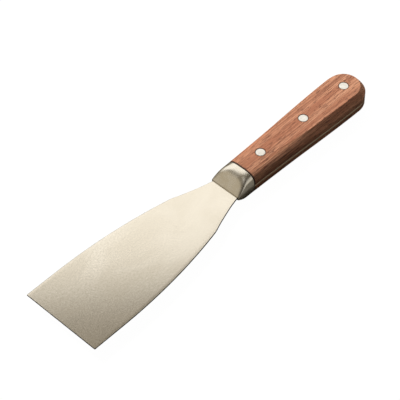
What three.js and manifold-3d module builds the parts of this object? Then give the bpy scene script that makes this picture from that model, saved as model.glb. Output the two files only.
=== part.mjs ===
// Flexible putty knife. A thin, taper-ground steel blade runs back as a full-width tang between two
// hardwood scales. A cast metal bolster wraps the neck, and three two-part rivets clamp the scales
// onto the tang, their heads flush with the handle's flat faces.
//
// Millimetres. Pieces are laid out with x from the working edge to the butt, y across the blade, and
// z = 0 in the middle of the blade's thickness. The last lines move the origin to the middle of the
// knife's footprint, at the height of the handle's lower flat face.

import * as THREE from "three";
import { mergeVertices } from "three/addons/utils/BufferGeometryUtils.js";
import Module from "manifold-3d";

const wasm = await Module();
wasm.setup();

// ---- Driving dimensions ----

const LENGTH = 232; // working edge to butt
const BLADE_WIDTH = 50;
const EDGE_THICKNESS = 0.6; // at the working edge
const TANG_THICKNESS = 1.2; // the sheet's own thickness, from the end of the taper back
const TAPER_LENGTH = 105;

const BOLSTER_FRONT = 121.8;
const BOLSTER_BACK = 134.6;
const BOLSTER_LIP = 1.15; // half thickness at the front edge
const BOLSTER_SLOPE = 0.81; // rise of the sloping faces for each step back
const BOLSTER_HALF_WIDTH = 9.9; // at the front, before its corners are rounded
const BOLSTER_CORNER_RADIUS = 0.6;
const BOLSTER_SQUARENESS = 3.1; // of its oval section: 2 is an ellipse, more is squarer
const BOLSTER_CREASE = 8; // sharpness of the bend between sides and slope

const NECK_HALF_WIDTH = 8; // the blade's waist inside the bolster
const NECK_TAPER = 2; // length over which the blade narrows to that waist
const KEY_RADIUS = 2; // the bolster's metal runs through one hole in the neck
const KEY_X = 129;
const CASTING_GAP = 0.05; // between the bolster and the sides of the neck

const JOINT_GAP = 0.15; // between the bolster and the scales
const HANDLE_FRONT = BOLSTER_BACK + JOINT_GAP;
const HANDLE_THICKNESS = 15.7;
const BUTT_LENGTH = 12.8; // the round end of the handle
const ROUND_END_X = 182; // the shoulders change from a soft round to a straight bevel up to here

const RIVET_PLACES = { front: 150, middle: 185.05, butt: 219.35 }; // along the handle
const RIVET_HEAD_RADIUS = 2.75;
const RIVET_HEAD_THICKNESS = 1.2;
const RIVET_RIM = 0.15; // bevel around each head
const SLEEVE_RADIUS = 1.9;
const SLEEVE_BORE_RADIUS = 1.3;
const SLEEVE_MOUTH_GAP = 0.2; // between the sleeve's mouth and the other head
const SLEEVE_BORE_DEPTH = 5.5; // of the closed end of its bore, below the tang's middle
const POST_RADIUS = 1.25;
const POST_DEPTH = 5; // of the post's end, below the tang's middle
const RIVET_CLEARANCE = 0.05;

const HALF_HEIGHT = HANDLE_THICKNESS / 2;
const HALF_TANG = TANG_THICKNESS / 2;
const BUTT_START = LENGTH - BUTT_LENGTH;

// Half width in plan: the place, half width and slope at each knot, with a cubic between knots.
const BLADE_KNOTS = [
  { x: 20, y: BLADE_WIDTH / 2, slope: 0 },
  { x: 96, y: 16.9, slope: -0.22 },
  { x: 104, y: 14.1, slope: -0.325 },
  { x: BOLSTER_FRONT, y: 9.05, slope: -0.18 },
];
const HANDLE_KNOTS = [
  { x: BOLSTER_BACK, y: 9.8, slope: 0.02 },
  { x: 168, y: 10.8, slope: 0.037 },
  { x: BUTT_START, y: 12.4, slope: 0 },
];

// The shoulder between a scale's side and its flat face is a superellipse quarter. It starts at height
// `side` and ends `inset` inside the outline: an exponent of 1 is a straight bevel.
const FRONT_SHOULDER = { side: 0, inset: 7.9, exponent: 2.88 };
const BACK_SHOULDER = { side: 3.6, inset: 3.05, exponent: 1.05 };

const BLADE_STEPS = 10; // per stretch between knots
const HANDLE_STEPS = 10;
const BUTT_STEPS = 22;
const SHOULDER_STEPS = 7;
const BOLSTER_STEPS = 14;
const BOLSTER_SIDES = 44;
const ROUND_SIDES = 28;

// ---- Curves ----

// The cubic through two knots, at a place between them.
function cubicBetween(a, b, x) {
  const span = b.x - a.x;
  const t = (x - a.x) / span;
  const value = a.y * (1 + 2 * t) * (1 - t) ** 2 + b.y * t ** 2 * (3 - 2 * t);
  return value + span * t * (1 - t) * (a.slope * (1 - t) - b.slope * t);
}

function halfWidthAt(knots, x) {
  const next = Math.max(1, knots.findIndex((knot) => knot.x >= x));
  return cubicBetween(knots[next - 1], knots[next], x);
}

// Points along the knots' curve, from `start` to the last knot.
function curvePoints(knots, steps, start = knots[0].x) {
  const stretches = knots.slice(1).map((knot, i) => [Math.max(knots[i].x, start), knot.x]);
  const places = stretches.flatMap(([from, to]) =>
    Array.from({ length: steps }, (_, i) => from + ((to - from) * i) / steps),
  );
  places.push(knots.at(-1).x);
  return places.map((x) => new THREE.Vector2(x, halfWidthAt(knots, x)));
}

// One side of the handle in plan, from its front corner to the tip of the butt.
function handleSide() {
  const points = curvePoints(HANDLE_KNOTS, HANDLE_STEPS, HANDLE_FRONT);
  const buttHalfWidth = HANDLE_KNOTS.at(-1).y;
  for (let i = 1; i <= BUTT_STEPS / 2; i++) {
    const angle = (Math.PI * i) / BUTT_STEPS;
    const x = BUTT_START + BUTT_LENGTH * Math.sin(angle);
    points.push(new THREE.Vector2(x, i < BUTT_STEPS / 2 ? buttHalfWidth * Math.cos(angle) : 0));
  }
  return points;
}

// Both sides of an outline, anticlockwise, from one side given front to back.
function bothSides(side) {
  const other = side.filter((p) => p.y > 0).map((p) => new THREE.Vector2(p.x, -p.y));
  return [...other, ...side.toReversed()];
}

const handleOutline = bothSides(handleSide());

// How far each point of the handle's outline moves for an inset of 1: inwards, square to the outline.
const handleInwards = handleOutline.map((point, i) => {
  const last = handleOutline.length - 1;
  if (i === 0 || i === last) return new THREE.Vector2(0, -Math.sign(point.y));
  const along = handleOutline[i + 1].clone().sub(handleOutline[i - 1]).normalize();
  return new THREE.Vector2(-along.y, along.x);
});

// The shoulder's proportions at a place along the handle.
function shoulderAt(x) {
  const share = THREE.MathUtils.smoothstep(x, HANDLE_FRONT, ROUND_END_X);
  const mix = (key) => THREE.MathUtils.lerp(FRONT_SHOULDER[key], BACK_SHOULDER[key], share);
  return { side: mix("side"), inset: mix("inset"), exponent: mix("exponent") };
}

// A point of a shoulder, from angle 0 at the side to a right angle at the flat face.
function shoulderPoint({ side, inset, exponent }, angle) {
  const power = 2 / exponent;
  return {
    inset: inset * (1 - Math.max(0, Math.cos(angle)) ** power),
    z: side + (HALF_HEIGHT - side) * Math.sin(angle) ** power,
  };
}

// ---- Solids ----

// A skin over a stack of rings with equal numbers of points, closed by flat ends. Seen from the last
// ring, each ring runs anticlockwise; `flatten` gives a ring's points in its own plane.
function loft(rings, flatten) {
  const count = rings[0].length;
  const faces = [];
  for (let ring = 0; ring + 1 < rings.length; ring++) {
    for (let i = 0; i < count; i++) {
      const [a, b] = [ring * count + i, ring * count + ((i + 1) % count)];
      faces.push(a, b, b + count, a, b + count, a + count);
    }
  }
  const lastRing = (rings.length - 1) * count;
  for (const face of THREE.ShapeUtils.triangulateShape(rings[0].map(flatten), [])) {
    faces.push(...face.toReversed());
  }
  for (const face of THREE.ShapeUtils.triangulateShape(rings.at(-1).map(flatten), [])) {
    faces.push(...face.map((i) => i + lastRing));
  }
  const geometry = new THREE.BufferGeometry().setFromPoints(rings.flat());
  return geometry.setIndex(faces);
}

// A flat shape made thick, from one height to another.
function plate(shape, low, high) {
  const settings = { depth: high - low, bevelEnabled: false, curveSegments: ROUND_SIDES };
  return new THREE.ExtrudeGeometry(shape, settings).translate(0, 0, low);
}

function disc(x, radius) {
  return new THREE.Shape().absarc(x, 0, radius, 0, 2 * Math.PI);
}

function solidOf(geometry) {
  const bare = geometry.clone();
  bare.deleteAttribute("normal");
  bare.deleteAttribute("uv");
  const merged = mergeVertices(bare, 1e-4);
  const vertProperties = merged.attributes.position.array;
  const triVerts = new Uint32Array(merged.index.array);
  return new wasm.Manifold(new wasm.Mesh({ numProp: 3, vertProperties, triVerts }));
}

function geometryOf(solid) {
  const mesh = solid.getMesh();
  const position = new THREE.BufferAttribute(mesh.vertProperties, 3);
  const geometry = new THREE.BufferGeometry().setAttribute("position", position);
  geometry.setIndex(new THREE.BufferAttribute(mesh.triVerts, 1));
  geometry.computeVertexNormals();
  return geometry;
}

const rivetPlaces = Object.values(RIVET_PLACES);

// ---- Blade ----

// The blade in plan: its working part, the waist that the bolster holds, and the full-width tang.
function bladeShape() {
  const side = [
    new THREE.Vector2(0, BLADE_WIDTH / 2),
    ...curvePoints(BLADE_KNOTS, BLADE_STEPS),
    new THREE.Vector2(BOLSTER_FRONT + NECK_TAPER, NECK_HALF_WIDTH),
    new THREE.Vector2(HANDLE_FRONT, NECK_HALF_WIDTH),
    ...handleSide(),
  ];
  const shape = new THREE.Shape(bothSides(side));
  shape.holes.push(disc(KEY_X, KEY_RADIUS + CASTING_GAP));
  for (const x of rivetPlaces) shape.holes.push(disc(x, SLEEVE_RADIUS + RIVET_CLEARANCE));
  return shape;
}

// A long wedge that grinds both faces of the sheet down towards the working edge.
function taperWedge() {
  const beyond = 1;
  const rise = (TANG_THICKNESS - EDGE_THICKNESS) / 2 / TAPER_LENGTH;
  const [front, back] = [-beyond, LENGTH + beyond];
  const halfAt = (x) => EDGE_THICKNESS / 2 + rise * x;
  const profile = new THREE.Shape([
    new THREE.Vector2(front, -halfAt(front)),
    new THREE.Vector2(back, -halfAt(back)),
    new THREE.Vector2(back, halfAt(back)),
    new THREE.Vector2(front, halfAt(front)),
  ]);
  const reach = BLADE_WIDTH / 2 + beyond;
  return plate(profile, -reach, reach).rotateX(Math.PI / 2);
}

function bladeGeometry() {
  const sheet = solidOf(plate(bladeShape(), -HALF_TANG, HALF_TANG));
  return geometryOf(sheet.intersect(solidOf(taperWedge())));
}

// ---- Bolster ----

// Half width at a place, drawn in around the front corners.
function bolsterHalfWidth(x) {
  const share = (x - BOLSTER_FRONT) / (BOLSTER_BACK - BOLSTER_FRONT);
  const straight = THREE.MathUtils.lerp(BOLSTER_HALF_WIDTH, HANDLE_KNOTS[0].y, share);
  const left = Math.max(0, BOLSTER_CORNER_RADIUS - (x - BOLSTER_FRONT));
  return straight - BOLSTER_CORNER_RADIUS + Math.sqrt(BOLSTER_CORNER_RADIUS ** 2 - left ** 2);
}

// The bolster's section is a squarish oval as high as the handle, cut off by the sloping faces. Both
// limits are taken as one smooth norm, so that the bend between them is soft.
function bolsterRing(x) {
  const width = bolsterHalfWidth(x);
  const slopeHeight = BOLSTER_LIP + BOLSTER_SLOPE * (x - BOLSTER_FRONT);
  const height = Math.min(slopeHeight, HALF_HEIGHT);
  return Array.from({ length: BOLSTER_SIDES }, (_, i) => {
    const angle = (2 * Math.PI * i) / BOLSTER_SIDES;
    const [across, up] = [Math.cos(angle), Math.sin(angle)];
    const oval =
      Math.abs(across) ** BOLSTER_SQUARENESS +
      Math.abs((up * height) / HALF_HEIGHT) ** BOLSTER_SQUARENESS;
    const slope = Math.abs((up * height) / slopeHeight) ** BOLSTER_CREASE;
    const reach = (oval ** (BOLSTER_CREASE / BOLSTER_SQUARENESS) + slope) ** (-1 / BOLSTER_CREASE);
    return new THREE.Vector3(x, width * across * reach, height * up * reach);
  });
}

function bolsterGeometry() {
  const corner = Array.from({ length: 4 }, (_, i) => BOLSTER_CORNER_RADIUS * (i / 4) ** 2);
  const start = BOLSTER_FRONT + BOLSTER_CORNER_RADIUS;
  const rest = Array.from(
    { length: BOLSTER_STEPS + 1 },
    (_, i) => start + ((BOLSTER_BACK - start) * i) / BOLSTER_STEPS,
  );
  const places = [...corner.map((step) => BOLSTER_FRONT + step), ...rest];
  const body = solidOf(loft(places.map(bolsterRing), (p) => new THREE.Vector2(p.y, p.z)));

  const beyond = 1;
  const frontHalf = BLADE_KNOTS.at(-1).y + CASTING_GAP;
  const neckHalf = NECK_HALF_WIDTH + CASTING_GAP;
  const slotSide = [
    new THREE.Vector2(BOLSTER_FRONT - beyond, frontHalf),
    new THREE.Vector2(BOLSTER_FRONT, frontHalf),
    new THREE.Vector2(BOLSTER_FRONT + NECK_TAPER, neckHalf),
    new THREE.Vector2(BOLSTER_BACK + beyond, neckHalf),
  ];
  const slotShape = new THREE.Shape(bothSides(slotSide));
  slotShape.holes.push(disc(KEY_X, KEY_RADIUS));
  return geometryOf(body.subtract(solidOf(plate(slotShape, -HALF_TANG, HALF_TANG))));
}

// ---- Scales ----

// The upper scale: the handle's outline from the tang up, drawn in along the shoulder.
function scaleGeometry() {
  const shoulders = handleOutline.map((point) => shoulderAt(point.x));
  const ringAt = (angle) =>
    handleOutline.map((point, i) => {
      const { inset, z } = shoulderPoint(shoulders[i], angle);
      const inwards = handleInwards[i].clone().multiplyScalar(inset);
      return new THREE.Vector3(point.x + inwards.x, point.y + inwards.y, Math.max(z, HALF_TANG));
    });
  const bottom = handleOutline.map((point) => new THREE.Vector3(point.x, point.y, HALF_TANG));
  const lowest = Math.asin((HALF_TANG / HALF_HEIGHT) ** (FRONT_SHOULDER.exponent / 2)) * 1.6;
  const angles = Array.from(
    { length: SHOULDER_STEPS + 1 },
    (_, i) => lowest + ((Math.PI / 2 - lowest) * i) / SHOULDER_STEPS,
  );
  const rings = [bottom, ...angles.map(ringAt)];
  let solid = solidOf(loft(rings, (p) => new THREE.Vector2(p.x, p.y)));
  const seat = HALF_HEIGHT - RIVET_HEAD_THICKNESS;
  for (const x of rivetPlaces) {
    const hole = disc(x, SLEEVE_RADIUS + RIVET_CLEARANCE);
    const recess = disc(x, RIVET_HEAD_RADIUS + RIVET_CLEARANCE);
    solid = solid.subtract(solidOf(plate(hole, 0, HANDLE_THICKNESS)));
    solid = solid.subtract(solidOf(plate(recess, seat, HANDLE_THICKNESS)));
  }
  return geometryOf(solid);
}

// ---- Rivets ----

// A turned piece standing along z, from its profile of radius and height.
function turned(profile) {
  const points = profile.map(([radius, z]) => new THREE.Vector2(radius, z));
  return new THREE.LatheGeometry(points, ROUND_SIDES).rotateX(Math.PI / 2);
}

// The half with the solid post, its head in the upper scale.
function postGeometry() {
  const neck = HALF_HEIGHT - RIVET_HEAD_THICKNESS;
  return turned([
    [0, -POST_DEPTH],
    [POST_RADIUS, -POST_DEPTH],
    [POST_RADIUS, neck],
    [RIVET_HEAD_RADIUS, neck],
    [RIVET_HEAD_RADIUS, HALF_HEIGHT - RIVET_RIM],
    [RIVET_HEAD_RADIUS - RIVET_RIM, HALF_HEIGHT],
    [0, HALF_HEIGHT],
  ]);
}

// The half with the hollow sleeve that takes the post, its head in the lower scale.
function sleeveGeometry() {
  const neck = RIVET_HEAD_THICKNESS - HALF_HEIGHT;
  const mouth = -neck - SLEEVE_MOUTH_GAP;
  return turned([
    [0, -HALF_HEIGHT],
    [RIVET_HEAD_RADIUS - RIVET_RIM, -HALF_HEIGHT],
    [RIVET_HEAD_RADIUS, RIVET_RIM - HALF_HEIGHT],
    [RIVET_HEAD_RADIUS, neck],
    [SLEEVE_RADIUS, neck],
    [SLEEVE_RADIUS, mouth],
    [SLEEVE_BORE_RADIUS, mouth],
    [SLEEVE_BORE_RADIUS, -SLEEVE_BORE_DEPTH],
    [0, -SLEEVE_BORE_DEPTH],
  ]);
}

// ---- Assembly ----

const steel = new THREE.MeshStandardMaterial({ color: 0xd8d0bf, roughness: 0.38, metalness: 1 });
const castMetal = new THREE.MeshStandardMaterial({ color: 0xbdb6a2, roughness: 0.3, metalness: 1 });
const rosewood = new THREE.MeshStandardMaterial({ color: 0x9a5f42, roughness: 0.5, metalness: 0 });
const aluminium = new THREE.MeshStandardMaterial({ color: 0xe9e9e6, roughness: 0.4, metalness: 1 });

const knife = new THREE.Group();

function addPiece(name, geometry, material) {
  const piece = new THREE.Mesh(geometry, material);
  piece.name = name;
  knife.add(piece);
  return piece;
}

addPiece("blade", bladeGeometry(), steel);
addPiece("bolster", bolsterGeometry(), castMetal);

const scale = scaleGeometry();
addPiece("scale_upper", scale, rosewood);
addPiece("scale_lower", scale, rosewood).scale.z = -1;

const post = postGeometry();
const sleeve = sleeveGeometry();
for (const [place, x] of Object.entries(RIVET_PLACES)) {
  addPiece(`rivet_${place}_post`, post, aluminium).position.x = x;
  addPiece(`rivet_${place}_sleeve`, sleeve, aluminium).position.x = x;
}

knife.position.set(-LENGTH / 2, 0, HALF_HEIGHT);

export default knife;
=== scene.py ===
import math

import bpy
import numpy as np
from mathutils import Matrix, Vector


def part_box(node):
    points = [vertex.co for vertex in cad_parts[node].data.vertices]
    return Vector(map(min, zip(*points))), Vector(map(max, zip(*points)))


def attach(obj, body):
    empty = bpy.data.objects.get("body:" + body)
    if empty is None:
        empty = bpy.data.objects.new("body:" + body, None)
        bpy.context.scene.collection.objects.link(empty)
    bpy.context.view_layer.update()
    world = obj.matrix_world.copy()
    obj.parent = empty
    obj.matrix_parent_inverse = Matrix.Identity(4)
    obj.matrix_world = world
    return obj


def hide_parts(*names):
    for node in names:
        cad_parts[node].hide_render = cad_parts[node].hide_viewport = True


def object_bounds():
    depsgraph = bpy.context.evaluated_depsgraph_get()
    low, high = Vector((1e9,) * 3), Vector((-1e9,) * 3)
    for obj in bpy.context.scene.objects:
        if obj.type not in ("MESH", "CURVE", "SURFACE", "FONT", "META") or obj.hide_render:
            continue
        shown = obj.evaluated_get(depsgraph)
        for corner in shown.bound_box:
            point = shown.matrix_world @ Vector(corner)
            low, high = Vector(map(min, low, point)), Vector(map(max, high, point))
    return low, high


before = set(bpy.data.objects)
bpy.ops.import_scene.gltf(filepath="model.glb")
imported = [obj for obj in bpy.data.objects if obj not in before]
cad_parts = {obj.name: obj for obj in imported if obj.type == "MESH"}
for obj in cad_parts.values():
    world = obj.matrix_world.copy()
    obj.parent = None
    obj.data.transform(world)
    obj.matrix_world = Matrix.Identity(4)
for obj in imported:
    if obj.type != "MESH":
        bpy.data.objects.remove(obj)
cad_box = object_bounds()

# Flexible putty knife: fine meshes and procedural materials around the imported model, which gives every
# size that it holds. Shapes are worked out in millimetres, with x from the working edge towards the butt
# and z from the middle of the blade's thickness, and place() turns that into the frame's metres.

MM = 0.001
SCENE = bpy.context.scene


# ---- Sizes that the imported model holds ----

def box_mm(node):
    low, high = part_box(node)
    return np.array(low) / MM, np.array(high) / MM


BLADE_LOW, BLADE_HIGH = box_mm("blade")
BOLSTER_LOW, BOLSTER_HIGH = box_mm("bolster")
SCALE_LOW, SCALE_HIGH = box_mm("scale_upper")
FRONT_X = BLADE_LOW[0]  # of the working edge, in the frame
MIDDLE_Z = (BLADE_LOW[2] + BLADE_HIGH[2]) / 2

LENGTH = BLADE_HIGH[0] - FRONT_X
BLADE_HALF_WIDTH = (BLADE_HIGH[1] - BLADE_LOW[1]) / 2
HALF_TANG = (BLADE_HIGH[2] - BLADE_LOW[2]) / 2
HALF_HEIGHT = SCALE_HIGH[2] - MIDDLE_Z
BOLSTER_FRONT = BOLSTER_LOW[0] - FRONT_X
BOLSTER_BACK = BOLSTER_HIGH[0] - FRONT_X
HANDLE_FRONT = SCALE_LOW[0] - FRONT_X
HANDLE_HALF_WIDTH = (SCALE_HIGH[1] - SCALE_LOW[1]) / 2

# ---- Shape constants, the same as the CAD source's ----

HALF_EDGE = 0.37  # half thickness of the working edge
TAPER_LENGTH = 105
BUTT_LENGTH = 12.8
BUTT_START = LENGTH - BUTT_LENGTH
BLADE_KNOTS = [  # place, half width and slope
    (20, BLADE_HALF_WIDTH, 0),
    (96, 16.9, -0.22),
    (104, 14.1, -0.325),
    (BOLSTER_FRONT, 9.05, -0.18),
]
BOLSTER_BACK_HALF_WIDTH = 9.8
HANDLE_KNOTS = [
    (BOLSTER_BACK, BOLSTER_BACK_HALF_WIDTH, 0.02),
    (168, 10.8, 0.037),
    (BUTT_START, HANDLE_HALF_WIDTH, 0),
]
FRONT_SHOULDER = np.array([0, 7.9, 2.88])  # side, inset and exponent
BACK_SHOULDER = np.array([3.6, 3.05, 1.05])
ROUND_END_X = 182
BOLSTER_LIP = 1.15
BOLSTER_SLOPE = 0.81
BOLSTER_HALF_WIDTH = 9.9
BOLSTER_CORNER_RADIUS = 0.6
BOLSTER_SQUARENESS = 3.1
BOLSTER_CREASE = 8
NECK_HALF_WIDTH = 8
NECK_TAPER = 2
KEY_X = 129
KEY_RADIUS = 2
CASTING_GAP = 0.05
SLEEVE_RADIUS = 1.9
SLEEVE_BORE_RADIUS = 1.3
SLEEVE_BORE_DEPTH = 5.5
SLEEVE_MOUTH_GAP = 0.2
POST_RADIUS = 1.25
POST_DEPTH = 5
RIVET_HEAD_THICKNESS = 1.2
RIVET_CLEARANCE = 0.05

# ---- Finish of the edges, which the CAD model leaves sharp ----

BLADE_EDGE_BEVEL = 0.2
# Fall of the blade's faces towards their long edges, as distances from the edge and drops.
EDGE_FALL = [(2.0, 0), (1.3, 0.006), (0.8, 0.02), (0.4, 0.045)]
CAST_EDGE_RADIUS = 0.18
WOOD_EDGE_RADIUS = 0.14
RECESS_CHAMFER = 0.16
RIVET_RIM = 0.3
RIVET_SINK = 0.06  # of the rim below the wood
RIVET_CROWN = 0.07  # rise of the head's middle above its rim


# ---- Curves ----

def cubic(knots, x):
    """The curve through knots of place, value and slope, at x."""
    last = max(1, next((i for i, knot in enumerate(knots) if knot[0] >= x), len(knots) - 1))
    (x0, y0, s0), (x1, y1, s1) = knots[last - 1], knots[last]
    span = x1 - x0
    t = (x - x0) / span
    value = y0 * (1 + 2 * t) * (1 - t) ** 2 + y1 * t**2 * (3 - 2 * t)
    return value + span * t * (1 - t) * (s0 * (1 - t) - s1 * t)


def rounding(distance, radius):
    """How far a surface is drawn in at a distance from an edge rounded to that radius."""
    left = max(0.0, radius - distance)
    return radius - math.sqrt(radius**2 - left**2)


def rounded_steps(radius, steps=4):
    """Distances from an edge at which its rounding is sampled."""
    return [radius * (1 - math.cos(math.pi / 2 * i / steps)) for i in range(steps + 1)]


def handle_half_width(x):
    if x <= BUTT_START:
        return cubic(HANDLE_KNOTS, x)
    return HANDLE_HALF_WIDTH * math.sqrt(max(0.0, 1 - ((x - BUTT_START) / BUTT_LENGTH) ** 2))


def handle_places(straight_steps=70, round_steps=40):
    """Places along the handle, closer together where its end turns round."""
    straight = np.linspace(HANDLE_FRONT, BUTT_START, straight_steps + 1)[:-1]
    angles = np.linspace(0, math.pi / 2, round_steps + 1)
    return [*straight, *(BUTT_START + BUTT_LENGTH * np.sin(angles))]


# ---- Meshes ----

def place(points):
    """Millimetres from the working edge and the blade's middle, as metres in the frame."""
    return (np.asarray(points, float) + [FRONT_X, 0, MIDDLE_Z]) * MM


def new_piece(name, points, faces):
    mesh = bpy.data.meshes.new(name)
    mesh.from_pydata([tuple(p) for p in place(points)], [], faces)
    mesh.validate()
    piece = bpy.data.objects.new(name, mesh)
    SCENE.collection.objects.link(piece)
    return piece


def skin(rings):
    """Points and faces over rings of equal length, closed at both ends. Point i of a ring lies across
    from point -1 - i, so the ends are strips of faces between the two sides."""
    count = len(rings[0])
    faces = []
    for ring in range(len(rings) - 1):
        for i in range(count):
            a, b = ring * count + i, ring * count + (i + 1) % count
            faces.append((a, b, b + count, a + count))
    last = (len(rings) - 1) * count
    for i in range((count - 1) // 2):
        strip = [i, i + 1, count - 2 - i, count - 1 - i]
        if strip[1] == strip[2]:
            strip.pop(2)
        faces.append(tuple(reversed(strip)))
        faces.append(tuple(last + k for k in strip))
    return np.concatenate(rings), faces


def turned(profile, x, sides=96):
    """Points and faces of a round solid standing along z, its profile from low to high."""
    angles = 2 * math.pi * np.arange(sides) / sides
    points, rings, faces = [], [], []
    for radius, z in profile:
        if radius == 0:
            rings.append([len(points)] * sides)
            points.append((x, 0, z))
            continue
        rings.append(list(range(len(points), len(points) + sides)))
        points += [(x + radius * math.cos(a), radius * math.sin(a), z) for a in angles]
    for low, high in zip(rings, rings[1:]):
        for i in range(sides):
            j = (i + 1) % sides
            corners = [low[i], low[j], high[j], high[i]]
            face = tuple(dict.fromkeys(corners))
            if len(face) > 2:
                faces.append(face)
    return np.array(points), faces


def cut(piece, *cutters):
    """Cuts the shapes of other meshes out of a piece, and removes them."""
    for cutter in cutters:
        modifier = piece.modifiers.new("cut", "BOOLEAN")
        modifier.operation = "DIFFERENCE"
        modifier.solver = "EXACT"
        modifier.object = cutter
    apply_modifiers(piece)
    for cutter in cutters:
        bpy.data.objects.remove(cutter)


def apply_modifiers(piece):
    graph = bpy.context.evaluated_depsgraph_get()
    made = bpy.data.meshes.new_from_object(piece.evaluated_get(graph))
    piece.modifiers.clear()
    piece.data = made


def soften_edges(piece, radius, angle=50):
    """Rounds the edges that turn by more than an angle in degrees."""
    bevel = piece.modifiers.new("soft edges", "BEVEL")
    bevel.width = radius * MM
    bevel.segments = 3
    bevel.limit_method = "ANGLE"
    bevel.angle_limit = math.radians(angle)
    bevel.use_clamp_overlap = True
    apply_modifiers(piece)


def finish_piece(piece, body, nodes, material, crease=32):
    """Smooth shading with true creases, the material, and the piece's place in the frame."""
    mesh = piece.data
    mesh.polygons.foreach_set("use_smooth", [True] * len(mesh.polygons))
    mesh.set_sharp_from_angle(angle=math.radians(crease))
    weighted = piece.modifiers.new("weighted normals", "WEIGHTED_NORMAL")
    weighted.keep_sharp = True
    mesh.materials.clear()
    mesh.materials.append(material)
    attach(piece, body)
    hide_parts(*nodes)


# ---- Shader nodes ----

class Shader:
    """A material's node tree, with a short way to add nodes and link values into them."""

    def __init__(self, name):
        self.material = bpy.data.materials.new(name)
        self.material.use_nodes = True
        self.tree = self.material.node_tree
        self.surface = self.tree.nodes["Principled BSDF"]
        self.where = self.add("ShaderNodeTexCoord").outputs["Object"]

    def add(self, kind, **settings):
        node = self.tree.nodes.new(kind)
        for key, value in settings.items():
            setattr(node, key, value)
        return node

    def feed(self, socket, value):
        if isinstance(value, bpy.types.NodeSocket):
            self.tree.links.new(value, socket)
        else:
            socket.default_value = value

    def maths(self, operation, *values):
        node = self.add("ShaderNodeMath", operation=operation)
        for socket, value in zip(node.inputs, values):
            self.feed(socket, value)
        return node.outputs[0]

    def stretched(self, per_mm, offset=(0, 0, 0)):
        """The place on the piece, scaled by so many cycles for each millimetre along x, y and z."""
        node = self.add("ShaderNodeMapping")
        self.feed(node.inputs["Vector"], self.where)
        node.inputs["Scale"].default_value = [value / MM for value in per_mm]
        node.inputs["Location"].default_value = offset
        return node.outputs[0]

    def noise(self, per_mm, detail=3.0, rough=0.5, distortion=0.0, offset=(0, 0, 0)):
        node = self.add("ShaderNodeTexNoise")
        self.feed(node.inputs["Vector"], self.stretched(per_mm, offset))
        node.inputs["Scale"].default_value = 1
        node.inputs["Detail"].default_value = detail
        node.inputs["Roughness"].default_value = rough
        node.inputs["Distortion"].default_value = distortion
        return node.outputs["Fac"]

    def remap(self, value, low, high, to_low=0.0, to_high=1.0, smooth=True):
        node = self.add("ShaderNodeMapRange", interpolation_type="SMOOTHSTEP" if smooth else "LINEAR")
        for key, number in zip(("Value", "From Min", "From Max", "To Min", "To Max"),
                               (value, low, high, to_low, to_high)):
            self.feed(node.inputs[key], number)
        return node.outputs["Result"]

    def mix(self, share, first, second, blend="MIX"):
        node = self.add("ShaderNodeMix", data_type="RGBA", blend_type=blend)
        self.feed(node.inputs["Factor"], share)
        for socket, value in ((node.inputs[6], first), (node.inputs[7], second)):
            self.feed(socket, value if isinstance(value, bpy.types.NodeSocket) else (*value, 1))
        return node.outputs[2]

    def axis(self, name):
        """The place along one axis of the frame, in metres."""
        node = self.add("ShaderNodeSeparateXYZ")
        self.feed(node.inputs[0], self.where)
        return node.outputs[name]

    def bump(self, height, distance_mm, strength=1.0):
        node = self.add("ShaderNodeBump")
        self.feed(node.inputs["Height"], height)
        node.inputs["Distance"].default_value = distance_mm * MM
        node.inputs["Strength"].default_value = strength
        self.feed(self.surface.inputs["Normal"], node.outputs[0])

    def metal(self, specular_tint=(1, 1, 1)):
        self.surface.inputs["Metallic"].default_value = 1.0
        self.surface.inputs["Specular Tint"].default_value = (*specular_tint, 1)


# ---- Materials ----

def blade_steel():
    """Satin ground steel with faint smudges and a fine sandy grain, stronger towards the working edge."""
    shader = Shader("blade_steel")
    shader.metal()
    grain = shader.noise((0.95, 0.95, 0.95), detail=4, rough=0.7)
    smudge = shader.noise((0.035, 0.06, 0.05), detail=3, rough=0.55, distortion=0.6)
    wear = shader.remap(shader.axis("X"), (FRONT_X + 30) * MM, (FRONT_X + 105) * MM, 1, 0.2)
    grain = shader.maths("MULTIPLY", shader.maths("SUBTRACT", grain, 0.5), wear)
    tone = shader.mix(shader.remap(grain, -0.2, 0.2), (0.745, 0.71, 0.63), (0.89, 0.855, 0.775))
    tone = shader.mix(shader.remap(smudge, 0.35, 0.7, 0, 0.35), tone, (0.74, 0.69, 0.585))
    shader.feed(shader.surface.inputs["Base Color"], tone)
    shader.feed(shader.surface.inputs["Roughness"], shader.remap(smudge, 0.3, 0.7, 0.225, 0.255))
    shader.bump(grain, 0.0015)
    return shader.material


def edge_steel():
    """The sheared and ground sides of the blade and tang, darker and rougher than its faces. The working
    part's sides are near black, partly from the grinding and partly painted shade below the blade's edge;
    the tang's sides are lighter steel, partly brightened as painted light.
    """
    shader = Shader("edge_steel")
    shader.metal()
    grind = shader.noise((3.0, 3.0, 0.5), detail=3)
    # Sides of the working part: near black, partly ground steel and partly painted shade below the blade's
    # edge.
    working = shader.mix(shader.remap(grind, 0.3, 0.7), (0.04, 0.034, 0.025), (0.09, 0.076, 0.055))
    # Sides of the tang: lighter steel, partly brightened as painted light against the handle's contact
    # shadow that they mirror.
    tang = shader.mix(shader.remap(grind, 0.3, 0.7), (0.55, 0.47, 0.34), (0.78, 0.69, 0.53))
    neck = (FRONT_X + BOLSTER_FRONT) * MM
    tone = shader.mix(shader.remap(shader.axis("X"), neck, neck + MM), working, tang)
    shader.feed(shader.surface.inputs["Base Color"], tone)
    shader.surface.inputs["Roughness"].default_value = 0.42
    shader.bump(grind, 0.02)
    return shader.material


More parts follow.
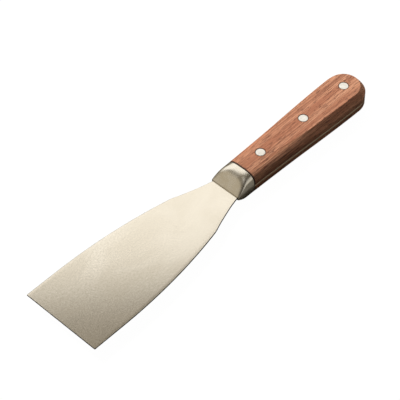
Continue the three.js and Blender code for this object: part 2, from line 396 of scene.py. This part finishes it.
def bolster_metal():
    """Polished cast white metal: warm, softly uneven, a little dull in patches."""
    shader = Shader("bolster_metal")
    shader.metal()
    cloud = shader.noise((0.16, 0.2, 0.2), detail=3, rough=0.5, distortion=0.4)
    fine = shader.noise((1.3, 1.3, 1.3), detail=3, rough=0.6)
    tone = shader.mix(shader.remap(cloud, 0.3, 0.7), (0.75, 0.71, 0.62), (0.87, 0.85, 0.79))
    tone = shader.mix(shader.remap(fine, 0.52, 0.75, 0, 0.18), tone, (0.62, 0.58, 0.48))
    shader.feed(shader.surface.inputs["Base Color"], tone)
    shader.feed(shader.surface.inputs["Roughness"], shader.remap(cloud, 0.3, 0.7, 0.22, 0.29))
    wave = shader.maths("ADD", cloud, shader.maths("MULTIPLY", fine, 0.12))
    shader.bump(wave, 0.012)
    return shader.material


def rivet_metal():
    """Bright soft metal, sanded flush with the wood."""
    shader = Shader("rivet_metal")
    shader.metal()
    sanding = shader.noise((0.5, 5.0, 5.0), detail=2)
    cloud = shader.noise((0.5, 0.5, 0.5), detail=2)
    tone = shader.mix(shader.remap(cloud, 0.35, 0.65), (0.80, 0.79, 0.76), (0.88, 0.875, 0.85))
    shader.feed(shader.surface.inputs["Base Color"], tone)
    shader.feed(shader.surface.inputs["Roughness"], shader.remap(sanding, 0.3, 0.7, 0.32, 0.42))
    shader.bump(sanding, 0.01)
    return shader.material


def handle_wood(name, offset, rivet_places, rivet_radius):
    """Oiled rosewood: long bands and fine dark lines along the handle, soft blotches and short pores, with
    painted shade at the bolster joint and around the rivet heads.
    """
    shader = Shader(name)
    wander = shader.noise((0.010, 0.05, 0.05), detail=2, offset=offset)
    blotch = shader.noise((0.05, 0.16, 0.16), detail=3, rough=0.5, distortion=0.3, offset=offset)
    bands = shader.noise((0.004, 0.42, 0.35), detail=2, rough=0.5, distortion=0.1, offset=offset)
    lines = shader.noise((0.005, 1.7, 1.3), detail=2, rough=0.55, offset=offset)
    streaks = shader.noise((0.018, 1.0, 0.9), detail=3, rough=0.6, offset=offset)
    fibre = shader.noise((0.035, 3.8, 3.8), detail=3, rough=0.6, offset=offset)
    pores = shader.noise((0.26, 3.2, 3.2), detail=2, rough=0.5, offset=offset)

    tone = shader.mix(shader.remap(bands, 0.38, 0.62), (0.51, 0.215, 0.122), (0.80, 0.42, 0.262))
    tone = shader.mix(shader.remap(blotch, 0.42, 0.68, 0, 0.45), tone, (0.84, 0.44, 0.265))
    tone = shader.mix(shader.remap(wander, 0.5, 0.72, 0, 0.4), tone, (0.56, 0.215, 0.12))
    tone = shader.mix(shader.remap(fibre, 0.42, 0.62, 0, 0.65), tone, (0.40, 0.16, 0.09))
    tone = shader.mix(shader.remap(lines, 0.53, 0.60, 0, 0.6), tone, (0.25, 0.09, 0.05))
    tone = shader.mix(shader.remap(streaks, 0.59, 0.68, 0, 0.6), tone, (0.20, 0.065, 0.035))
    tone = shader.mix(shader.remap(pores, 0.565, 0.635, 0, 0.75), tone, (0.10, 0.032, 0.02))
    # Painted shade: the wood goes near black within about a millimetre of the bolster joint, for the gap's
    # shadow, and in a ring just outside each rivet head, for the shadow in its recess.
    joint = (FRONT_X + HANDLE_FRONT) * MM
    painted_shade = shader.remap(shader.axis("X"), joint + 0.4 * MM, joint + 1.1 * MM, 0.93, 0)
    for x in rivet_places:
        across = shader.maths("SUBTRACT", shader.axis("X"), (FRONT_X + x) * MM)
        offsets = (across, shader.axis("Y"))
        squares = [shader.maths("POWER", shader.maths("ABSOLUTE", value), 2) for value in offsets]
        distance = shader.maths("SQRT", shader.maths("ADD", *squares))
        ring = shader.remap(distance, (rivet_radius + 0.2) * MM, (rivet_radius + 0.55) * MM, 0.65, 0)
        painted_shade = shader.maths("MAXIMUM", painted_shade, ring)
    tone = shader.mix(painted_shade, tone, (0.03, 0.015, 0.01))
    shader.feed(shader.surface.inputs["Base Color"], tone)

    shader.feed(shader.surface.inputs["Roughness"], shader.remap(fibre, 0.3, 0.7, 0.42, 0.56))
    shader.surface.inputs["Specular IOR Level"].default_value = 0.3
    shader.surface.inputs["Coat Weight"].default_value = 0.04
    shader.surface.inputs["Coat Roughness"].default_value = 0.3
    groove = shader.maths("ADD", shader.remap(pores, 0.6, 0.7), shader.remap(lines, 0.55, 0.7, 0, 0.4))
    height = shader.maths("SUBTRACT", shader.maths("MULTIPLY", fibre, 0.4), groove)
    shader.bump(height, 0.02)
    return shader.material


# ---- Blade ----

def blade_half_width(x):
    """Half width along the whole sheet: the working part, the waist in the bolster, then the tang."""
    if x <= BOLSTER_FRONT:
        return BLADE_HALF_WIDTH if x <= BLADE_KNOTS[0][0] else cubic(BLADE_KNOTS, x)
    if x < HANDLE_FRONT:
        share = min(1, (x - BOLSTER_FRONT) / NECK_TAPER)
        return BLADE_KNOTS[-1][1] + (NECK_HALF_WIDTH - BLADE_KNOTS[-1][1]) * share
    return handle_half_width(x)


def blade_half_thickness(x):
    return HALF_EDGE + (HALF_TANG - HALF_EDGE) * min(1, x / TAPER_LENGTH)


def blade_ring(x, half_width, half_thickness):
    """A section of the sheet with tiny bevels, drawn anticlockwise from its lower middle."""
    bevel = min(BLADE_EDGE_BEVEL, half_width / 2)
    falls = [(half_width * 0.5, 0)]
    falls += [(half_width - min(inset, half_width * 0.4), fall) for inset, fall in EDGE_FALL]
    falls.append((half_width - bevel, EDGE_FALL[-1][1]))
    upper = [(y, half_thickness - fall) for y, fall in falls]
    corner = (half_width, half_thickness - bevel)
    side = [*[(y, -z) for y, z in upper], (corner[0], -corner[1]), corner, *reversed(upper)]
    across = side + [(-y, z) for y, z in reversed(side)]
    return [(x, y, z) for y, z in across]


def blade_rings():
    rings = []
    for distance in (0, BLADE_EDGE_BEVEL):
        drawn_in = BLADE_EDGE_BEVEL - distance
        rings.append(blade_ring(distance, BLADE_HALF_WIDTH - drawn_in, HALF_EDGE - drawn_in))
    stations = [*np.linspace(1, BOLSTER_FRONT, 130), BOLSTER_FRONT + NECK_TAPER, HANDLE_FRONT - 0.01]
    stations += handle_places()
    for x in stations:
        rings.append(blade_ring(x, max(blade_half_width(x), 0.04), blade_half_thickness(x)))
    return rings


def disc_cutter(x, radius):
    return new_piece("cutter", *turned([(0, -1), (radius, -1), (radius, 1), (0, 1)], x))


def make_blade(body, faces_steel, side_steel, rivet_places):
    piece = new_piece("blade_fine", *skin(blade_rings()))
    cutters = [disc_cutter(x, SLEEVE_RADIUS + RIVET_CLEARANCE) for x in rivet_places]
    cut(piece, disc_cutter(KEY_X, KEY_RADIUS + CASTING_GAP), *cutters)
    finish_piece(piece, body, ["blade"], faces_steel)
    piece.data.materials.append(side_steel)
    for face in piece.data.polygons:
        face.material_index = 0 if abs(face.normal.z) > 0.9 else 1
    return piece


# ---- Bolster ----

def bolster_ring(x, sides=72):
    """The CAD model's section, with the casting's edges rounded at both ends."""
    from_front, from_back = x - BOLSTER_FRONT, BOLSTER_BACK - x
    share = from_front / (BOLSTER_BACK - BOLSTER_FRONT)
    width = BOLSTER_HALF_WIDTH + (BOLSTER_BACK_HALF_WIDTH - BOLSTER_HALF_WIDTH) * share
    drawn_in = rounding(from_back, CAST_EDGE_RADIUS)
    width -= rounding(from_front, BOLSTER_CORNER_RADIUS) + drawn_in
    slope_height = BOLSTER_LIP + BOLSTER_SLOPE * from_front - rounding(from_front, CAST_EDGE_RADIUS)
    height = min(slope_height, HALF_HEIGHT)
    side = []
    for i in range(sides):
        angle = math.pi * ((i + 0.5) / sides - 0.5)
        across, up = math.cos(angle), math.sin(angle) * height
        oval = across**BOLSTER_SQUARENESS + abs(up / HALF_HEIGHT) ** BOLSTER_SQUARENESS
        slope = abs(up / slope_height) ** BOLSTER_CREASE
        reach = (oval ** (BOLSTER_CREASE / BOLSTER_SQUARENESS) + slope) ** (-1 / BOLSTER_CREASE)
        z = up * reach
        side.append((width * across * reach, z - math.copysign(drawn_in, z) * min(1, abs(z) / HALF_HEIGHT)))
    ring = side + [(-y, z) for y, z in reversed(side)]
    return [(x, y, z) for y, z in ring]


def slot_cutter():
    """The space that the blade's neck fills, less the peg that runs through the neck's hole."""
    beyond, gap = 1, 0.02
    half_thickness = HALF_TANG + gap
    front, neck = BLADE_KNOTS[-1][1] + CASTING_GAP, NECK_HALF_WIDTH + CASTING_GAP
    places = [(BOLSTER_FRONT - beyond, front), (BOLSTER_FRONT, front),
              (BOLSTER_FRONT + NECK_TAPER, neck), (BOLSTER_BACK + beyond, neck)]
    rings = []
    for x, y in places:
        corners = [(y, -half_thickness), (y, half_thickness), (-y, half_thickness), (-y, -half_thickness)]
        rings.append([(x, *corner) for corner in corners])
    cutter = new_piece("cutter", *skin(rings))
    cut(cutter, disc_cutter(KEY_X, KEY_RADIUS))
    return cutter


def make_bolster(body, metal):
    length = BOLSTER_BACK - BOLSTER_FRONT
    front = [BOLSTER_FRONT + step for step in rounded_steps(BOLSTER_CORNER_RADIUS, 7)]
    back = [BOLSTER_BACK - step for step in rounded_steps(CAST_EDGE_RADIUS)]
    middle = [x for x in np.linspace(BOLSTER_FRONT, BOLSTER_BACK, 60)
              if BOLSTER_CORNER_RADIUS * 1.1 < x - BOLSTER_FRONT < length - CAST_EDGE_RADIUS * 1.5]
    places = [*front, *middle, *reversed(back)]
    piece = new_piece("bolster_fine", *skin([bolster_ring(x) for x in places]))
    cut(piece, slot_cutter())
    finish_piece(piece, body, ["bolster"], metal, crease=40)
    return piece


# ---- Scales ----

def shoulder_at(x):
    share = min(1, max(0, (x - HANDLE_FRONT) / (ROUND_END_X - HANDLE_FRONT)))
    share = share * share * (3 - 2 * share)
    return FRONT_SHOULDER + (BACK_SHOULDER - FRONT_SHOULDER) * share


def scale_rings():
    """Rings from the tang up to the flat face, each the handle's outline drawn in along the shoulder."""
    places = handle_places()
    side = np.array([(x, handle_half_width(x)) for x in places])
    side[-1, 1] = 0
    outline = np.concatenate([side * [1, -1], side[-2::-1]])
    along = np.roll(outline, -1, 0) - np.roll(outline, 1, 0)
    along[0] = along[-1] = (1, 0)
    along[-1] *= -1
    along /= np.linalg.norm(along, axis=1)[:, None]
    inwards = np.column_stack([-along[:, 1], along[:, 0]])
    shoulders = np.array([shoulder_at(x) for x in outline[:, 0]])
    low, inset, exponent = shoulders.T
    lowest = math.asin((HALF_TANG / HALF_HEIGHT) ** (FRONT_SHOULDER[2] / 2)) * 1.3
    rings = [np.column_stack([outline, np.full(len(outline), HALF_TANG)])]
    for angle in np.linspace(lowest, math.pi / 2, 20):
        drawn_in = inset * (1 - max(0, math.cos(angle)) ** (2 / exponent))
        z = low + (HALF_HEIGHT - low) * math.sin(angle) ** (2 / exponent)
        rings.append(np.column_stack([outline + inwards * drawn_in[:, None], np.maximum(z, HALF_TANG)]))
    return rings


def recess_cutter(x, head_radius, side):
    """A rivet's hole with the recess for its head, chamfered at the face."""
    hole, recess = SLEEVE_RADIUS + RIVET_CLEARANCE, head_radius + RIVET_CLEARANCE
    seat = HALF_HEIGHT - RIVET_HEAD_THICKNESS
    top = HALF_HEIGHT + RECESS_CHAMFER
    profile = [(0, 0), (hole, 0), (hole, seat), (recess, seat), (recess, HALF_HEIGHT - RECESS_CHAMFER),
               (recess + 2 * RECESS_CHAMFER, top), (0, top)]
    return mirrored_piece("cutter", *turned(profile, x), side)


def mirrored_piece(name, points, faces, side):
    """A piece as drawn for the upper side, or turned over for the lower one."""
    if side < 0:
        points = points * [1, 1, -1]
        faces = [tuple(reversed(face)) for face in faces]
    return new_piece(name, points, faces)


def make_scale(body, name, side, wood, rivets):
    piece = mirrored_piece(name + "_fine", *skin(scale_rings()), side)
    soften_edges(piece, WOOD_EDGE_RADIUS)
    cut(piece, *[recess_cutter(x, radius, side) for x, radius in rivets])
    finish_piece(piece, body, [name], wood, crease=28)
    return piece


# ---- Rivets ----

def head_profile(radius):
    """A rivet head's outer surface from rim to middle: a rounded rim and a faint crown."""
    top = HALF_HEIGHT - RIVET_SINK
    steps = 5
    rim = []
    for i in range(steps + 1):
        angle = math.pi / 2 * i / steps
        rim.append((radius - RIVET_RIM * (1 - math.cos(angle)), top - RIVET_RIM * (1 - math.sin(angle))))
    inner = radius - RIVET_RIM
    crown = [(inner * (1 - t), top + RIVET_CROWN * (1 - (1 - t) ** 2)) for t in (0.15, 0.3, 0.5, 0.7, 0.85)]
    return [*rim, *crown, (0, top + RIVET_CROWN)]


def make_rivet(body, place_name, x, radius, metal):
    neck = HALF_HEIGHT - RIVET_HEAD_THICKNESS
    post = [(0, -POST_DEPTH), (POST_RADIUS, -POST_DEPTH), (POST_RADIUS, neck), (radius, neck)]
    bore = [(0, SLEEVE_BORE_DEPTH), (SLEEVE_BORE_RADIUS, SLEEVE_BORE_DEPTH)]
    mouth = SLEEVE_MOUTH_GAP - neck
    sleeve = [*bore, (SLEEVE_BORE_RADIUS, mouth), (SLEEVE_RADIUS, mouth)]
    sleeve += [(SLEEVE_RADIUS, neck), (radius, neck)]
    for half, profile, side in (("post", post, 1), ("sleeve", sleeve, -1)):
        node = f"rivet_{place_name}_{half}"
        points, faces = turned([*profile, *head_profile(radius)], x)
        piece = mirrored_piece(node + "_fine", points, faces, side)
        finish_piece(piece, body, [node], metal)


# ---- The object ----

BODY = "root"
rivets = {}
for rivet_name in ("front", "middle", "butt"):
    rivet_low, rivet_high = box_mm(f"rivet_{rivet_name}_post")
    rivet_x = (rivet_low[0] + rivet_high[0]) / 2 - FRONT_X
    rivets[rivet_name] = (rivet_x, (rivet_high[0] - rivet_low[0]) / 2)

make_blade(BODY, blade_steel(), edge_steel(), [x for x, _ in rivets.values()])
make_bolster(BODY, bolster_metal())
rivet_places = [x for x, _ in rivets.values()]
head_radius = max(radius for _, radius in rivets.values())
for side, name, offset in ((1, "upper", (3.1, 0.4, 2.2)), (-1, "lower", (9.7, 5.3, 4.1))):
    wood = handle_wood(f"handle_wood_{name}", offset, rivet_places, head_radius)
    make_scale(BODY, f"scale_{name}", side, wood, rivets.values())
rivet_finish = rivet_metal()
for rivet_name, (rivet_x, rivet_radius) in rivets.items():
    make_rivet(BODY, rivet_name, rivet_x, rivet_radius, rivet_finish)


# ---- Floor, light and camera ----

WORLD_NEAR, WORLD_FAR = 0.07, 0.26  # brightness of the room on the near and the far side
FLOOR_SIZE = 8.0
MIRRORED_SIZE = 3.0
CARD_SIZE = 0.8
CARD_INSET = 0.016  # from the knife's middle line to the card's near edge
FLOOR_DROP, CARD_DROP, MIRRORED_DROP = 0.0001, 0.0002, 0.0004  # below the knife


def floor_plane(name, drop, size):
    z = cad_box[0].z - drop
    mesh = bpy.data.meshes.new(name)
    half = size / 2
    corners = [(-half, -half, z), (half, -half, z), (half, half, z), (-half, half, z)]
    mesh.from_pydata(corners, [], [(0, 1, 2, 3)])
    plane = bpy.data.objects.new(name, mesh)
    SCENE.collection.objects.link(plane)
    return plane


def floor_material(name, colour, glow, tint=(1, 1, 1)):
    material = bpy.data.materials.new(name)
    material.use_nodes = True
    surface = material.node_tree.nodes["Principled BSDF"]
    surface.inputs["Base Color"].default_value = (*colour, 1)
    surface.inputs["Roughness"].default_value = 1.0
    surface.inputs["Specular IOR Level"].default_value = 0.0
    surface.inputs["Emission Color"].default_value = (*tint, 1)
    surface.inputs["Emission Strength"].default_value = glow
    return material


def make_floor():
    """The pale floor that is seen, a greyer one below it that lights and is mirrored by the knife, and a
    dimly glowing card on the near side that only the metal mirrors."""
    seen = floor_plane("floor", FLOOR_DROP, FLOOR_SIZE)
    seen.data.materials.append(floor_material("floor", (0.05, 0.05, 0.05), 0.985))
    seen.visible_diffuse = seen.visible_glossy = seen.visible_shadow = False
    mirrored = floor_plane("floor_bounce", MIRRORED_DROP, MIRRORED_SIZE)
    mirrored.data.materials.append(floor_material("floor_bounce", (0.15, 0.135, 0.11), 0.0))
    mirrored.visible_camera = False
    card = floor_plane("floor_card", CARD_DROP, CARD_SIZE)
    card.location.y = -CARD_SIZE / 2 - CARD_INSET
    card.data.materials.append(floor_material("floor_card", (0, 0, 0), 0.18, (1.0, 0.92, 0.77)))
    card.visible_camera = card.visible_diffuse = card.visible_shadow = False


def soft_box(name, centre, target, size, brightness, colour=(1, 1, 1), turn=0.0):
    """A rectangular panel that faces a target, turned about its own middle by an angle in degrees."""
    light = bpy.data.lights.new(name, "AREA")
    light.shape = "RECTANGLE"
    light.size, light.size_y = size
    light.energy = brightness * math.pi * size[0] * size[1]
    light.color = colour
    lamp = bpy.data.objects.new(name, light)
    away = (Vector(centre) - Vector(target)).normalized()
    spin = Matrix.Rotation(math.radians(turn), 4, "Z")
    lamp.matrix_world = Matrix.Translation(centre) @ away.to_track_quat("Z", "Y").to_matrix().to_4x4() @ spin
    lamp.visible_camera = False
    SCENE.collection.objects.link(lamp)
    return lamp


def make_world():
    """A dim warm room, darker on the near side."""
    world = bpy.data.worlds.new("studio")
    world.use_nodes = True
    nodes, links = world.node_tree.nodes, world.node_tree.links
    direction = nodes.new("ShaderNodeTexCoord").outputs["Generated"]
    parts = nodes.new("ShaderNodeSeparateXYZ")
    links.new(direction, parts.inputs[0])
    share = nodes.new("ShaderNodeMapRange")
    share.interpolation_type = "SMOOTHSTEP"
    links.new(parts.outputs["Y"], share.inputs["Value"])
    share.inputs["From Min"].default_value = -0.5
    share.inputs["From Max"].default_value = 0.5
    share.inputs["To Min"].default_value = WORLD_NEAR
    share.inputs["To Max"].default_value = WORLD_FAR
    sky = nodes["Background"]
    sky.inputs["Color"].default_value = (1.0, 0.87, 0.68, 1)
    links.new(share.outputs["Result"], sky.inputs["Strength"])
    SCENE.world = world


def make_light():
    make_world()
    # Overhead panel, mirrored by the flat metal from the neck up to a soft edge across the blade.
    turn, edge, depth, breadth, sideways, height = 51.7, 0.0972, 0.38, 0.6, -0.07, 0.2
    inwards = Vector((math.cos(math.radians(turn)), math.sin(math.radians(turn)), 0))
    along = Vector((-inwards.y, inwards.x, 0))
    centre = inwards * (edge + depth / 2) + along * sideways + Vector((0, 0, height))
    soft_box("overhead", centre, (centre[0], centre[1], 0), (depth, breadth), 0.94, (1.0, 0.975, 0.93), turn)
    # Main light from the far side, out of the flat metal's reflections.
    far = soft_box("far", (-0.05, 0.62, 0.79), (0.02, 0, 0), (0.5, 0.4), 12.8, (1.0, 0.96, 0.92))
    far.visible_glossy = False
    # Dim strip low on the near side, mirrored mostly by the bolster's side.
    strip = soft_box("strip", (0.33, -0.56, 0.17), (0.02, 0, 0), (0.6, 0.22), 0.3, (1.0, 0.9, 0.74))
    strip.visible_diffuse = False
    # Soft panel on the near side, mirrored by the flat metal when the knife is seen from its far side.
    behind = soft_box("behind", (0.34, -0.74, 0.5), (0, 0, 0), (1.1, 0.6), 0.45, (1.0, 0.965, 0.9))
    behind.visible_diffuse = False
    # Small dim panel straight above, mirrored by the flat metal when it is seen from the top.
    above = soft_box("above", (0, 0, 1.15), (0, 0, 0), (0.42, 0.3), 0.42, (1.0, 0.965, 0.9))
    above.visible_diffuse = False
    # Dim warm panel that the bolster's sloping face mirrors.
    soft_box("front", (-0.42, 0.31, 0.42), (0, 0, 0), (0.35, 0.35), 0.3, (1.0, 0.88, 0.68))


def make_camera():
    """The camera looks down along the knife from beyond its working edge."""
    azimuth, elevation, roll = math.radians(-46.09), math.radians(49.017), math.radians(-0.466)
    aim = Vector((-8.5, 4.87, 7.85)) * MM
    distance = 0.93516
    back = Vector((math.sin(azimuth) * math.cos(elevation), -math.cos(azimuth) * math.cos(elevation),
                   math.sin(elevation)))
    right = Vector((math.cos(azimuth), math.sin(azimuth), 0))
    up = back.cross(right)
    across = right * math.cos(roll) + up * math.sin(roll)
    upwards = up * math.cos(roll) - right * math.sin(roll)
    data = bpy.data.cameras.new("camera")
    data.sensor_width = 36
    data.lens = 157.26
    data.clip_start, data.clip_end = 0.05, 10
    camera = bpy.data.objects.new("camera", data)
    camera.matrix_world = Matrix.Translation(aim + back * distance) @ Matrix(
        (across, upwards, back)).transposed().to_4x4()
    SCENE.collection.objects.link(camera)
    SCENE.camera = camera


make_floor()
make_light()
make_camera()
SCENE.view_settings.view_transform = "Standard"
